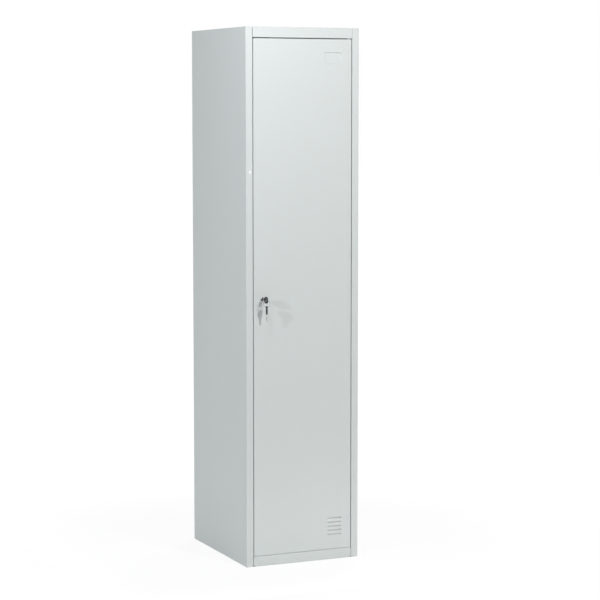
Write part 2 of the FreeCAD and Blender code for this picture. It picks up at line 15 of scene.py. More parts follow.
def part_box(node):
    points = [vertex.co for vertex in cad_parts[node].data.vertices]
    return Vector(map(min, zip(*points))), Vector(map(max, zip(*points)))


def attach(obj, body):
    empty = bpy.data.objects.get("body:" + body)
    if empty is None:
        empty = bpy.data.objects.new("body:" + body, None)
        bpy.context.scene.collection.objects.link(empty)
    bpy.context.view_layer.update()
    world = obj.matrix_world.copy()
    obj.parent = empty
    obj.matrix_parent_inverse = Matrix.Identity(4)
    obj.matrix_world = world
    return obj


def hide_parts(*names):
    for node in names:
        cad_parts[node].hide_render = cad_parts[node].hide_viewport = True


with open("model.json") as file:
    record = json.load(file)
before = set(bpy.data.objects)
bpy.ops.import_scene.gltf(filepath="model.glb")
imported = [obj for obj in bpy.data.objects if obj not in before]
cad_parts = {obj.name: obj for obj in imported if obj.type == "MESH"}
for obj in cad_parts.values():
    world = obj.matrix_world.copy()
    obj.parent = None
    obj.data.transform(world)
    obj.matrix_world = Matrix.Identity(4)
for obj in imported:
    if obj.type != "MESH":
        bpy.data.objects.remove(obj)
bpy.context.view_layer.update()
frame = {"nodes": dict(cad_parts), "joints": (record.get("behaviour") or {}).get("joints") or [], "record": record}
LOG = logging.getLogger("locker")

MM = 0.001
QUARTER_TURN = math.pi / 2
NOISE_MEAN = 0.5
# Sockets of a Mix node that blends colours.
MIX_FACTOR, MIX_FIRST, MIX_SECOND, MIX_RESULT = 0, 6, 7, 2

Colour = tuple[float, float, float]
Point = tuple[float, float, float]
Number = Union[int, float]
WHITE: Colour = (1, 1, 1)
TO_FRONT: Point = (0, -1, 0)
TO_BACK: Point = (0, 1, 0)
TO_RIGHT: Point = (1, 0, 0)


class Body(Enum):
    """Rigid bodies that the added pieces ride on."""

    CARCASS = "carcass"
    LOCK = "lock"
    KEY = "key"
    RING = "ring"
    SPARE_KEY = "spare_key"


class Slot(Enum):
    """Material slots of the record."""

    PAINT = "light_grey_paint"
    ZINC = "zinc_steel"
    RAIL = "rail_steel"
    CHROME = "bright_chrome"
    KEY_STEEL = "key_steel"
    BLACK = "black_plastic"
    WHITE = "white_plastic"
    RUBBER = "dark_rubber"


class Head(Enum):
    """Kinds of fastener head."""

    RIVET = "rivet_head"
    SCREW = "screw_head"


class Shade:
    """A shader socket that takes part in plain arithmetic."""

    def __init__(self, graph: "Graph", socket: bpy.types.NodeSocket) -> None:
        """Keeps the socket and the graph that new nodes go into.

        Args:
            graph: Graph that owns the socket.
            socket: Output socket to wrap.
        """
        self.graph = graph
        self.socket = socket

    def combine(self, operation: str, first: "Term", second: "Term") -> "Shade":
        """Adds a Math node.

        Args:
            operation: Math node's operation.
            first: Its first value.
            second: Its second value.

        Returns:
            The node's result.
        """
        return self.graph.out("ShaderNodeMath", {"operation": operation}, {0: first, 1: second})

    def __add__(self, other: "Term") -> "Shade":
        """Sum of two values."""
        return self.combine("ADD", self, other)

    def __radd__(self, other: "Term") -> "Shade":
        """Sum with a plain number first."""
        return self.combine("ADD", other, self)

    def __sub__(self, other: "Term") -> "Shade":
        """Difference of two values."""
        return self.combine("SUBTRACT", self, other)

    def __rsub__(self, other: "Term") -> "Shade":
        """Difference with a plain number first."""
        return self.combine("SUBTRACT", other, self)

    def __mul__(self, other: "Term") -> "Shade":
        """Product of two values."""
        return self.combine("MULTIPLY", self, other)

    def __rmul__(self, other: "Term") -> "Shade":
        """Product with a plain number first."""
        return self.combine("MULTIPLY", other, self)

    def lower(self, other: "Term") -> "Shade":
        """Smaller of two values."""
        return self.combine("MINIMUM", self, other)

    def higher(self, other: "Term") -> "Shade":
        """Larger of two values."""
        return self.combine("MAXIMUM", self, other)

    def swing(self, share: float) -> "Shade":
        """A share of a noise's departure from its mean."""
        return (self - NOISE_MEAN) * share

    def ramp(self, low: float, high: float) -> "Shade":
        """Smooth step.

        Args:
            low: Value that gives 0.
            high: Value that gives 1.

        Returns:
            The step's value between 0 and 1.
        """
        if low > high:
            return 1 - self.ramp(high, low)
        inputs = {"Value": self, "From Min": low, "From Max": high}
        return self.graph.out("ShaderNodeMapRange", {"interpolation_type": "SMOOTHSTEP"}, inputs)


Term = Union[Shade, Number]


class Graph:
    """Node tree of a material or world, written as expressions."""

    def __init__(self, tree: bpy.types.NodeTree) -> None:
        """Empties the tree.

        Args:
            tree: Node tree to fill.
        """
        self.tree = tree
        tree.nodes.clear()

    def node(
        self,
        kind: str,
        settings: Optional[dict[str, object]] = None,
        inputs: Optional[dict[Union[str, int], object]] = None,
    ) -> bpy.types.Node:
        """Adds a node, sets it up and joins its sockets.

        Args:
            kind: Node's type.
            settings: Properties that are set first.
            inputs: Values or links by socket name or number.

        Returns:
            The new node.
        """
        made = self.tree.nodes.new(kind)
        for name, value in (settings or {}).items():
            setattr(made, name, value)
        for key, value in (inputs or {}).items():
            if isinstance(value, Shade):
                self.tree.links.new(value.socket, made.inputs[key])
            elif isinstance(value, bpy.types.NodeSocket):
                self.tree.links.new(value, made.inputs[key])
            else:
                made.inputs[key].default_value = value
        return made

    def out(
        self,
        kind: str,
        settings: Optional[dict[str, object]] = None,
        inputs: Optional[dict[Union[str, int], object]] = None,
        socket: Union[str, int] = 0,
    ) -> Shade:
        """Adds a node and wraps one of its outputs.

        Args:
            kind: Node's type.
            settings: Properties that are set first.
            inputs: Values or links by socket name or number.
            socket: Output to wrap.

        Returns:
            The wrapped output.
        """
        return Shade(self, self.node(kind, settings, inputs).outputs[socket])

    def place(self, stretch: Point = (1, 1, 1)) -> Shade:
        """Object coordinates in metres, stretched along the axes.

        Args:
            stretch: Factor of each axis.

        Returns:
            The coordinates.
        """
        coordinates = self.out("ShaderNodeTexCoord", socket="Object")
        if stretch == (1, 1, 1):
            return coordinates
        return self.out("ShaderNodeMapping", inputs={"Vector": coordinates, "Scale": stretch})

    def noise(self, scale: float, detail: float = 2, stretch: Point = (1, 1, 1)) -> Shade:
        """Noise that averages one half.

        Args:
            scale: Features per metre.
            detail: Octaves.
            stretch: Factor of each axis.

        Returns:
            The noise's value.
        """
        inputs = {"Vector": self.place(stretch), "Scale": scale, "Detail": detail}
        return self.out("ShaderNodeTexNoise", inputs=inputs, socket="Fac")

    def toned(self, colour: Colour, tone_range: float, tone: Term) -> Shade:
        """Colour that varies in lightness.

        Args:
            colour: Mean colour.
            tone_range: Lightest less darkest, as a share of the colour.
            tone: 0 for the darkest, 1 for the lightest.

        Returns:
            The varied colour.
        """
        dark = shifted(colour, 1 - tone_range / 2)
        light = shifted(colour, 1 + tone_range / 2)
        inputs = {MIX_FACTOR: tone, MIX_FIRST: (*dark, 1), MIX_SECOND: (*light, 1)}
        return self.out("ShaderNodeMix", {"data_type": "RGBA"}, inputs, socket=MIX_RESULT)

    def bump(self, height: Shade, distance: float) -> Shade:
        """Normal from a height.

        Args:
            height: Height as a share of distance.
            distance: Depth in metres.

        Returns:
            The bumped normal.
        """
        return self.out("ShaderNodeBump", inputs={"Height": height, "Distance": distance, "Strength": 1.0})

    def finish(self, **inputs: object) -> None:
        """Ends the tree in a Principled shader.

        Args:
            **inputs: Socket values, with spaces in names written as underscores.
        """
        named = {key.replace("_", " "): value for key, value in inputs.items()}
        shader = self.node("ShaderNodeBsdfPrincipled", inputs=named)
        self.node("ShaderNodeOutputMaterial", inputs={"Surface": shader.outputs[0]})


def new_graph(name: str) -> tuple[bpy.types.Material, Graph]:
    """Makes an empty node material.

    Args:
        name: Material's name.

    Returns:
        The material and its graph.
    """
    material = bpy.data.materials.new(name)
    material.use_nodes = True
    return material, Graph(material.node_tree)


def shifted(colour: Colour, factor: float) -> Colour:
    """Colour made lighter or darker by a factor."""
    return tuple(min(channel * factor, 1.0) for channel in colour)


@dataclass(frozen=True)
class PowderCoat:
    """Satin powder coat on sheet steel, with orange peel, a wavy sheet and folds made lighter in patches: thinner
    paint there, plus a painted highlight along them.
    """

    colour: Colour = (0.604, 0.635, 0.622)
    roughness: float = 0.44
    refraction: float = 1.48
    tone_range: float = 0.03
    cloud_scale: float = 2.6
    cloud_tone: float = 0.7
    grain_scale: float = 90
    grain_tone: float = 0.35
    grain_roughness: float = 0.1
    peel_size: float = 1.6 * MM
    peel_depth: float = 0.012 * MM
    wave_size: float = 260 * MM
    wave_depth: float = 0.12 * MM
    wave_stretch: Point = (1, 1, 0.6)
    edge_width: float = 1.6 * MM
    thin_paint_and_highlight_scale: float = 160
    thin_paint_and_highlight_from: float = 0.45
    thin_paint_and_highlight_to: float = 0.7
    thin_paint_and_highlight_tone: float = 0.4
    thin_roughness: float = 0.06

    def edge(self, graph: Graph, low: Vector, high: Vector) -> Shade:
        """Distance from the nearest edge of a box.

        Args:
            graph: Material's graph.
            low: Box's lowest corner.
            high: Box's highest corner.

        Returns:
            Second smallest distance to the box's faces.
        """
        split = graph.node("ShaderNodeSeparateXYZ", inputs={"Vector": graph.place()})
        depths = []
        for axis in range(3):
            along = Shade(graph, split.outputs[axis])
            depths.append((along - low[axis]).lower(high[axis] - along))
        first, second, third = depths
        return first.lower(second).higher(first.higher(second).lower(third))

    def material(self, node: str) -> bpy.types.Material:
        """Paint of one sheet.

        Args:
            node: Sheet's node, whose box gives the folds.

        Returns:
            The material.
        """
        material, graph = new_graph(f"paint_{node}")
        cloud = graph.noise(self.cloud_scale, detail=3)
        grain = graph.noise(self.grain_scale, detail=3)
        peel = graph.noise(1 / self.peel_size, detail=1)
        wave = graph.noise(1 / self.wave_size, detail=1, stretch=self.wave_stretch)
        edge = self.edge(graph, *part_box(node)).ramp(self.edge_width, 0)
        # Lighter patches along the folds: partly thinner paint, partly a painted highlight of the fold's edge.
        thin_paint_and_highlight = edge * graph.noise(self.thin_paint_and_highlight_scale).ramp(self.thin_paint_and_highlight_from, self.thin_paint_and_highlight_to)
        tone = NOISE_MEAN + cloud.swing(self.cloud_tone) + grain.swing(self.grain_tone)
        height = peel * (self.peel_depth / MM) + wave * (self.wave_depth / MM)
        graph.finish(
            Base_Color=graph.toned(self.colour, self.tone_range, tone + thin_paint_and_highlight * self.thin_paint_and_highlight_tone),
            Roughness=self.roughness + grain.swing(self.grain_roughness) + thin_paint_and_highlight * self.thin_roughness,
            Normal=graph.bump(height, MM),
            IOR=self.refraction,
        )
        return material


@dataclass(frozen=True)
class Plating:
    """Plated or polished steel with fine lines along one axis."""

    name: str
    colour: Colour
    roughness: float
    line_stretch: Point = (1, 1, 1)
    line_scale: float = 900
    line_depth: float = 0.004 * MM
    line_tone: float = 0.6
    line_roughness: float = 0.5
    cloud_scale: float = 40
    cloud_roughness: float = 0.8
    tone_range: float = 0.12

    def material(self) -> bpy.types.Material:
        """Plated metal.

        Returns:
            The material.
        """
        material, graph = new_graph(self.name)
        lines = graph.noise(self.line_scale, stretch=self.line_stretch)
        cloud = graph.noise(self.cloud_scale)
        unevenness = cloud.swing(self.cloud_roughness) + lines.swing(self.line_roughness)
        graph.finish(
            Base_Color=graph.toned(self.colour, self.tone_range, cloud + lines.swing(self.line_tone)),
            Metallic=1.0,
            Roughness=self.roughness * (1 + unevenness),
            Normal=graph.bump(lines, self.line_depth),
        )
        return material


@dataclass(frozen=True)
class Moulding:
    """Moulded plastic or rubber with a fine spark-eroded grain."""

    name: str
    colour: Colour
    roughness: float
    grain_size: float = 0.35 * MM
    grain_depth: float = 0.01 * MM
    cloud_scale: float = 70
    cloud_tone: float = 0.9
    cloud_roughness: float = 0.14
    tone_range: float = 0.25

    def material(self) -> bpy.types.Material:
        """Moulded surface.

        Returns:
            The material.
        """
        material, graph = new_graph(self.name)
        grain = graph.noise(1 / self.grain_size)
        cloud = graph.noise(self.cloud_scale, detail=3)
        graph.finish(
            Base_Color=graph.toned(self.colour, self.tone_range, NOISE_MEAN + cloud.swing(self.cloud_tone)),
            Roughness=self.roughness + cloud.swing(self.cloud_roughness),
            Normal=graph.bump(grain, self.grain_depth),
        )
        return material


class Paintshop:
    """Dresses the frame's nodes by their record slots."""

    plated = {
        Slot.ZINC: Plating("zinc_plating", colour=(0.56, 0.57, 0.58), roughness=0.34),
        Slot.RAIL: Plating(
            "rail_chrome",
            colour=(0.62, 0.63, 0.64),
            roughness=0.14,
            line_stretch=(0.05, 1, 1),
        ),
        Slot.CHROME: Plating(
            "lock_chrome",
            colour=(0.56, 0.57, 0.58),
            roughness=0.06,
            line_depth=0.0006 * MM,
        ),
        Slot.KEY_STEEL: Plating(
            "key_nickel",
            colour=(0.5, 0.5, 0.49),
            roughness=0.12,
            line_stretch=(1, 1, 0.1),
            line_depth=0.001 * MM,
        ),
    }
    moulded = {
        Slot.BLACK: Moulding("black_moulding", colour=(0.018, 0.019, 0.02), roughness=0.42),
        Slot.WHITE: Moulding("white_moulding", colour=(0.78, 0.79, 0.78), roughness=0.4, tone_range=0.06),
        Slot.RUBBER: Moulding("buffer_rubber", colour=(0.03, 0.03, 0.031), roughness=0.8),
    }

    def __init__(self) -> None:
        """Makes the shared finishes."""
        self.paint = PowderCoat()
        shared = {**self.plated, **self.moulded}
        self.shared = {slot: finish.material() for slot, finish in shared.items()}

    def of(self, slot: Slot, node: str) -> bpy.types.Material:
        """Finish of a slot.

        Args:
            slot: Record's slot.
            node: Node that the finish goes on.

        Returns:
            The material.
        """
        return self.paint.material(node) if slot is Slot.PAINT else self.shared[slot]

    def dress(self) -> None:
        """Gives every node of the frame its finish."""
        for part in frame["record"]["subparts"]:
            node = part["node"]
            data = frame["nodes"][node].data
            data.materials.clear()
            data.materials.append(self.of(Slot(part["material_slot"]), node))
            LOG.info("dressed %s", node)


class FormGraph(Graph):
    """Geometry node group with named inputs that ends as a plain mesh."""

    def __init__(self, name: str) -> None:
        """Starts an empty group.

        Args:
            name: Group's name.
        """
        super().__init__(bpy.data.node_groups.new(name, "GeometryNodeTree"))
        self.tree.interface.new_socket("Geometry", in_out="OUTPUT", socket_type="NodeSocketGeometry")
        self.entry = self.node("NodeGroupInput")

    def given(self, name: str, kind: str) -> bpy.types.NodeSocket:
        """Adds a named input.

        Args:
            name: Input's name.
            kind: Socket's kind, such as Float.

        Returns:
            The input's socket inside the group.
        """
        self.tree.interface.new_socket(name, in_out="INPUT", socket_type=f"NodeSocket{kind}")
        return self.entry.outputs[name]

    def close(self, result: bpy.types.NodeSocket, material: bpy.types.Material) -> None:
        """Ends the group with real meshes in one finish.

        Args:
            result: Geometry to give out.
            material: Its finish.
        """
        real = self.node("GeometryNodeRealizeInstances", inputs={"Geometry": result})
        inputs = {"Geometry": real.outputs[0], "Material": material}
        dressed = self.node("GeometryNodeSetMaterial", inputs=inputs)
        self.node("NodeGroupOutput", inputs={"Geometry": dressed.outputs[0]})

    def mesh(self, name: str, values: dict[str, object]) -> bpy.types.Mesh:
        """Runs the group.

        Args:
            name: Mesh's name.
            values: Inputs by name.

        Returns:
            The group's result.
        """
        carrier = bpy.data.objects.new(name, bpy.data.meshes.new(name))
        bpy.context.scene.collection.objects.link(carrier)
        modifier = carrier.modifiers.new(name, "NODES")
        modifier.node_group = self.tree
        for item in self.tree.interface.items_tree:
            if item.in_out == "INPUT":
                modifier[item.identifier] = values[item.name]
        graph = bpy.context.evaluated_depsgraph_get()
        mesh = bpy.data.meshes.new_from_object(carrier.evaluated_get(graph), depsgraph=graph)
        bpy.data.meshes.remove(carrier.data)
        mesh.name = name
        return mesh


def middle(node: str) -> Vector:
    """Middle of a node's box."""
    low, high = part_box(node)
    return (low + high) / 2


def aimed(base: Sequence[float], axis: Point) -> Matrix:
    """Place whose Z runs along an axis.

    Args:
        base: Its zero point.
        axis: Way of its Z.

    Returns:
        The place.
    """
    return Matrix.Translation(base) @ Vector(axis).to_track_quat("Z", "Y").to_matrix().to_4x4()


def skinned(rings: Sequence[Sequence[Vector]], closed: bool) -> bmesh.types.BMesh:
    """Joins rings of points into one skin.

    Args:
        rings: Rings of equal length, or of one point at a pole.
        closed: True to join the last ring to the first.

    Returns:
        The skin, with faces outward.
    """
    form = bmesh.new()
    rows = [[form.verts.new(point) for point in ring] for ring in rings]
    steps = max(len(row) for row in rows)
    following = rows[1:] + rows[:1] if closed else rows[1:]
    for row, after in zip(rows, following):
        for index in range(steps):
            ends = (index, (index + 1) % steps)
            corners = [row[ends[0] % len(row)], row[ends[1] % len(row)]]
            corners += [after[ends[1] % len(after)], after[ends[0] % len(after)]]
            corners = list(dict.fromkeys(corners))
            if len(corners) > 2:
                form.faces.new(corners)
    bmesh.ops.recalc_face_normals(form, faces=form.faces)
    return form


def lathe(profile: Sequence[tuple[float, float]], closed: bool = False, steps: int = 48) -> bmesh.types.BMesh:
    """Turns (radius, height) pairs about Z.

    Args:
        profile: Pairs in metres, from pole to pole or round a ring's section.
        closed: True for a ring.
        steps: Faces round the axis.

    Returns:
        The turned form.
    """
    rings = []
    for radius, height in profile:
        turns = [math.tau * index / steps for index in range(steps if radius else 1)]
        rings.append([Vector((radius * math.cos(turn), radius * math.sin(turn), height)) for turn in turns])
    return skinned(rings, closed)


@dataclass(frozen=True)
class Dome:
    """Domed end of a round piece."""

    radius: float
    height: float
    power: float = 2.5
    rings: int = 8

    def outline(self, rim: float = 0) -> list[tuple[float, float]]:
        """Outline from the pole to the rim.

        Args:
            rim: Height of the rim.

        Returns:
            Pairs of radius and height.
        """
        shares = [math.sin(QUARTER_TURN * index / self.rings) for index in range(self.rings + 1)]
        heights = [rim + self.height * math.sqrt(1 - share**self.power) for share in shares]
        return [(self.radius * share, height) for share, height in zip(shares, heights)]


class Fitter:
    """Puts finished meshes on their bodies."""

    sharp_angle = math.radians(40)

    def __init__(self, shop: Paintshop) -> None:
        """Keeps the finishes.

        Args:
            shop: Finishes by slot.
        """
        self.shop = shop

    def fit(
        self,
        mesh: bpy.types.Mesh,
        body: Body,
        slot: Slot,
        *nodes: str,
        finish: Optional[bpy.types.Material] = None,
    ) -> None:
        """Adds a mesh to the locker.

        Args:
            mesh: Mesh at its place in the frame.
            body: Body that it rides on.
            slot: Record's slot of its finish.
            *nodes: Nodes that it stands for.
            finish: Its own finish, where that differs from the slot's.
        """
        mesh.materials.clear()
        mesh.materials.append(finish or self.shop.shared[slot])
        mesh.shade_smooth()
        mesh.set_sharp_from_angle(angle=self.sharp_angle)
        piece = bpy.data.objects.new(mesh.name, mesh)
        bpy.context.scene.collection.objects.link(piece)
        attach(piece, body.value)
        if nodes:
            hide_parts(*nodes)
        LOG.info("fitted %s, %d faces", piece.name, len(mesh.polygons))

    def fit_form(
        self, name: str, form: bmesh.types.BMesh, place: Matrix, body: Body, slot: Slot, *nodes: str
    ) -> None:
        """Adds a form to the locker.

        Args:
            name: Piece's name.
            form: Form about its own zero point.
            place: Its place in the frame.
            body: Body that it rides on.
            slot: Record's slot of its finish.
            *nodes: Nodes that it stands for.
        """
        mesh = bpy.data.meshes.new(name)
        form.transform(place)
        form.to_mesh(mesh)
        form.free()
        self.fit(mesh, body, slot, *nodes)


@dataclass
class KeyBow:
    """Moulded bow with a raised rim, round its eye and along its neck."""

    node: str
    body: Body
    place: Matrix
    radius: float = 11.5 * MM
    centre: float = 5 * MM
    neck_half: float = 6 * MM
    neck_end: float = 21 * MM
    eye: float = 4 * MM
    thickness: float = 6 * MM
    rim: float = 2.2 * MM
    rim_slope: float = 0.5 * MM
    rim_limit: float = 0.4
    slope_limit: float = 0.45
    sink: float = 0.7 * MM
    rounding: float = 0.9 * MM
    steps: int = 144
    arc_steps: int = 4

    def reach(self, turn: float) -> float:
        """Distance from the eye's middle to the outline.

        Args:
            turn: Angle from the blade's way.

        Returns:
            The distance.
        """
        along, across = math.cos(turn), math.sin(turn)
        disc = self.centre * along + math.sqrt(self.radius**2 - (self.centre * across) ** 2)
        if along <= 0:
            return disc
        neck = self.neck_end / along
        if abs(across) * neck > self.neck_half:
            neck = self.neck_half / abs(across)
        return max(disc, neck)

    def upper_side(self, outer: float) -> list[tuple[float, float]]:
        """Upper half of a section from the eye out.

        Args:
            outer: Distance of the outline.

        Returns:
            Pairs of distance from the eye's middle and height.
        """
        half, soft = self.thickness / 2, self.rounding
        quarter = [QUARTER_TURN * index / self.arc_steps for index in range(self.arc_steps + 1)]
        inner = [(self.eye + soft * (1 - math.sin(t)), half - soft * (1 - math.cos(t))) for t in quarter]
        rounded = [(outer - soft * (1 - math.sin(t)), half - soft * (1 - math.cos(t))) for t in quarter]
        span = outer - self.eye
        depth = self.sink * min(max((span - 2 * (self.rim + self.rim_slope)) / self.rim, 0), 1)
        near = min(self.rim, self.rim_limit * span)
        far = min(self.rim + self.rim_slope, self.slope_limit * span)
        panel = [(self.eye + near, half), (self.eye + far, half - depth)]
        panel += [(outer - far, half - depth), (outer - near, half)]
        return inner[::-1] + panel + rounded

    def build(self, fitter: Fitter) -> None:
        """Sweeps the section round the eye.

        Args:
            fitter: Takes the finished piece.
        """
        rings = []
        for index in range(self.steps):
            turn = math.tau * index / self.steps
            upper = self.upper_side(self.reach(turn))
            section = upper + [(away, -height) for away, height in reversed(upper)]
            rings.append([Vector((h, r * math.cos(turn), r * math.sin(turn))) for r, h in section])
        form = skinned(rings, closed=True)
        fitter.fit_form(f"{self.node}_moulded", form, self.place, self.body, Slot.BLACK, self.node)


@dataclass
class SplitRing:
    """Ring of flat wire wound twice."""

    place: Matrix
    radius: float
    wire_width: float = 1.5 * MM
    wire_thickness: float = 0.62 * MM
    rise: float = 0.92 * MM
    turns: float = 2
    turn_steps: int = 72
    corner: float = 0.2 * MM
    corner_steps: int = 3
    finish: Plating = Plating("ring_steel", colour=(0.4, 0.4, 0.41), roughness=0.2, line_depth=0.001 * MM)

    def build(self, fitter: Fitter) -> None:
        """Winds the wire by geometry nodes.

        Args:
            fitter: Takes the finished piece.
        """
        graph = FormGraph("wound_ring")
        radius = graph.given("Radius", "Float")
        spiral = graph.node(
            "GeometryNodeCurveSpiral",
            inputs={
                "Resolution": self.turn_steps,
                "Rotations": graph.given("Turns", "Float"),
                "Start Radius": radius,
                "End Radius": radius,
                "Height": graph.given("Rise", "Float"),
            },
        )
        upright = graph.node("GeometryNodeSetCurveNormal", {"mode": "Z_UP"}, {"Curve": spiral.outputs[0]})
        flat = graph.node(
            "GeometryNodeCurvePrimitiveQuadrilateral",
            inputs={"Width": graph.given("Width", "Float"), "Height": graph.given("Thickness", "Float")},
        )
        soft = graph.node(
            "GeometryNodeFilletCurve",
            {"mode": "POLY"},
            {
                "Curve": flat.outputs[0],
                "Count": self.corner_steps,
                "Radius": graph.given("Corner", "Float"),
            },
        )
        wire = graph.node(
            "GeometryNodeCurveToMesh",
            inputs={"Curve": upright.outputs[0], "Profile Curve": soft.outputs[0], "Fill Caps": True},
        )
        steel = self.finish.material()
        graph.close(wire.outputs[0], steel)
        values = {
            "Radius": self.radius,
            "Turns": self.turns,
            "Rise": self.rise,
            "Width": self.wire_width,
            "Thickness": self.wire_thickness,
            "Corner": self.corner,
        }
        mesh = graph.mesh("split_ring", values)
        mesh.transform(self.place @ Matrix.Translation((0, 0, -self.rise / 2)))
        fitter.fit(mesh, Body.RING, Slot.CHROME, "key_ring", finish=steel)


@dataclass
class TurnedFittings:
    """Small round fittings of the carcass: stile plug, buffers, top bush and hanging rail."""

    plug_cap: Dome = Dome(radius=6.5 * MM, height=2 * MM)
    plug_stem: float = 3 * MM
    plug_depth: float = 5 * MM
    plug_point: float = 0.5 * MM
    buffer_cap: Dome = Dome(radius=4.5 * MM, height=1.7 * MM, power=4)
    bush_flange: float = 2.4 * MM
    bush_step: float = 0.6 * MM
    bush_wall: float = 1.6 * MM
    bush_nose: float = 1.45
    bush_pinch: float = 0.4
    rail_wall: float = 1.2 * MM
    rail_steps: int = 72
    chamfer: float = 0.3 * MM

    def build(self, fitter: Fitter) -> None:
        """Turns each fitting at its node's place.

        Args:
            fitter: Takes the finished pieces.
        """
        self.build_plug(fitter)
        for node in ("door_buffer_lower", "door_buffer_upper"):
            self.build_buffer(fitter, node)
        self.build_top_bush(fitter)
        self.build_rail(fitter)

    def build_plug(self, fitter: Fitter) -> None:
        """Turns the plug in the left stile.

        Args:
            fitter: Takes the finished piece.
        """
        stem, point, depth = self.plug_stem, self.plug_point, self.plug_depth
        outline = self.plug_cap.outline()
        outline += [(stem, 0), (stem, point - depth), (stem - point, -depth), (0, -depth)]
        seat = middle("stile_plug")
        seat.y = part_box("stile_plug")[0].y + self.plug_cap.height
        place = aimed(seat, TO_FRONT)
        fitter.fit_form("stile_plug_domed", lathe(outline), place, Body.CARCASS, Slot.WHITE, "stile_plug")

    def build_buffer(self, fitter: Fitter, node: str) -> None:
        """Turns a door buffer.

        Args:
            fitter: Takes the finished piece.
            node: Buffer's node.
        """
        low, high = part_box(node)
        cap = self.buffer_cap
        outline = cap.outline(rim=high.y - low.y - cap.height) + [(cap.radius, 0), (0, 0)]
        seat = middle(node)
        seat.y = high.y
        place = aimed(seat, TO_FRONT)
        fitter.fit_form(f"{node}_domed", lathe(outline), place, Body.CARCASS, Slot.RUBBER, node)

    def build_top_bush(self, fitter: Fitter) -> None:
        """Turns the top bush and draws its flange out to the door's face.

        Args:
            fitter: Takes the finished piece.
        """
        low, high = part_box("hinge_bush_top")
        outer, height = (high.x - low.x) / 2, high.z - low.z
        bore, body, cut = outer - self.bush_wall, outer - self.bush_step, self.chamfer
        section = [(bore, 0), (outer - cut, 0), (outer, cut), (outer, self.bush_flange)]
        section += [(body, self.bush_flange), (body, height), (bore, height)]
        form = lathe(section, closed=True)
        for corner in form.verts:
            x, y, z = corner.co
            if y < 0 and math.hypot(x, y) > (bore + body) / 2 and z < (self.bush_flange + height) / 2:
                corner.co.x = x * (1 + self.bush_pinch * y / outer)
                corner.co.y = y * self.bush_nose
        seat = middle("hinge_bush_top")
        seat.z = low.z
        place = Matrix.Translation(seat)
        fitter.fit_form("hinge_bush_top_oval", form, place, Body.CARCASS, Slot.WHITE, "hinge_bush_top")

    def build_rail(self, fitter: Fitter) -> None:
        """Turns the rail's tube with broken edges.

        Args:
            fitter: Takes the finished piece.
        """
        low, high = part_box("hanging_rail")
        outer = (high.z - low.z) / 2
        inner, length, cut = outer - self.rail_wall, high.x - low.x, self.chamfer
        section = [(inner, 0), (outer - cut, 0), (outer, cut), (outer, length - cut)]
        section += [(outer - cut, length), (inner, length)]
        form = lathe(section, closed=True, steps=self.rail_steps)
        seat = middle("hanging_rail")
        seat.x = low.x
        place = aimed(seat, TO_RIGHT)
        fitter.fit_form("hanging_rail_tube", form, place, Body.CARCASS, Slot.RAIL, "hanging_rail")


@dataclass(frozen=True)
class CrossRecess:
    """Cross recess of a screw's head."""

    half_width: float
    reach: float
    depth: float
    taper: float = 0.6

    def cut(self, form: bmesh.types.BMesh, top: float) -> None:
        """Sinks the cross into a head.

        Args:
            form: Screw about Z.
            top: Height of the head's top.
        """
        for corner in form.verts:
            across, along = sorted((abs(corner.co.x), abs(corner.co.y)))
            if corner.co.z > top / 2 and across < self.half_width and along < self.reach:
                corner.co.z -= self.depth * (1 - self.taper * along / self.reach)


@dataclass
class CamScrew:
    """Pan head screw that holds the lock's cam."""

    head: Dome = Dome(radius=5 * MM, height=2.6 * MM, power=4, rings=14)
    shank: float = 2 * MM
    bevel: float = 0.6 * MM
    steps: int = 96
    recess: CrossRecess = CrossRecess(half_width=0.7 * MM, reach=2.9 * MM, depth=1.7 * MM)

    def build(self, fitter: Fitter) -> None:
        """Turns the screw and cuts its recess.

        Args:
            fitter: Takes the finished piece.
        """
        low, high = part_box("cam_screw")
        length = high.y - low.y - self.head.height
        outline = self.head.outline()
        outline += [(self.shank, 0), (self.shank, self.bevel - length), (self.shank - self.bevel, -length)]
        form = lathe(outline + [(0, -length)], steps=self.steps)
        self.recess.cut(form, self.head.height)
        seat = middle("cam_screw")
        seat.y = high.y - self.head.height
        fitter.fit_form("cam_screw_cross", form, aimed(seat, TO_BACK), Body.LOCK, Slot.ZINC, "cam_screw")


@dataclass(frozen=True)
class FastenerRow:
    """Fasteners in an upright row on one face."""

    name: str
    head: Head
    start: Point
    step: float
    count: int
    facing: Point


